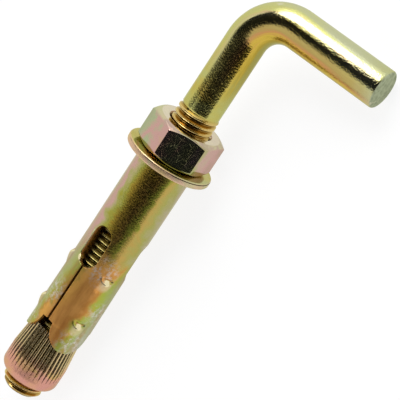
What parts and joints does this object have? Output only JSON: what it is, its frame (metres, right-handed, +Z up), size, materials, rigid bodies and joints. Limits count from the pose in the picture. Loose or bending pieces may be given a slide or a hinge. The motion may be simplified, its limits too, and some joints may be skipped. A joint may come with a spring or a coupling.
{
  "type": "hook anchor bolt",
  "caption": "Steel wall anchor with a bent hook rod: its nut draws a serrated cone into a slit sleeve, which spreads and grips a drilled hole.",
  "frame": {"origin": "middle of the footprint's box on the floor, with the anchor lying as it comes to rest on the washer's rim, the cone nut's end and the arm's edge", "axes": "+X along the rod towards the hook, which rises by about 3 degrees, +Z up, and the hook's arm points to -Y and dips to the floor"},
  "size_m": [0.1138, 0.0426, 0.021],
  "materials": {
    "rod_zinc": "smooth drawn rod, yellow-passivated zinc plating, golden olive with green and pink interference blotches",
    "nut_zinc": "cold-formed nut, yellow-passivated zinc plating, golden olive with green and pink interference blotches",
    "washer_zinc": "stamped washer, yellow-passivated zinc plating, golden olive with green and pink interference blotches",
    "sleeve_zinc": "rolled sheet with zinc scuffs, yellow-passivated zinc plating, golden olive with green and pink interference blotches",
    "cone_zinc": "turned and serrated, yellow-passivated zinc plating, golden olive with green and pink interference blotches"
  },
  "bodies": {
    "hook_bolt": {"hook_bolt": "rod_zinc"},
    "washer": {"washer": "washer_zinc"},
    "hex_nut": {"hex_nut": "nut_zinc"},
    "sleeve": {"sleeve": "sleeve_zinc"},
    "cone_nut": {"cone_nut": "cone_zinc"}
  },
  "joints": [
    {"name": "washer_slide", "type": "slide", "parent": "hook_bolt", "child": "washer", "axis": [0.9983, 0, 0.0588], "range_m": [0, 0.0036]},
    {"name": "nut_turn", "type": "hinge", "parent": "washer", "child": "hex_nut", "pos_m": [0.0099, 0.01081, 0.01056], "axis": [0.9983, 0, 0.0588], "range_deg": [0, 840]},
    {"name": "sleeve_slide", "type": "slide", "parent": "hook_bolt", "child": "sleeve", "axis": [0.9983, 0, 0.0588], "range_m": [-0.0031, 0]},
    {"name": "cone_turn", "type": "hinge", "parent": "sleeve", "child": "cone_nut", "pos_m": [-0.05359, 0.01081, 0.00682], "axis": [0.9983, 0, 0.0588], "range_deg": [-720, 0]}
  ],
  "couplings": [
    {"joint": "washer_slide", "follows": "nut_turn", "m_per_rad": 0.00023873},
    {"joint": "sleeve_slide", "follows": "cone_turn", "m_per_rad": 0.00023873}
  ]
}
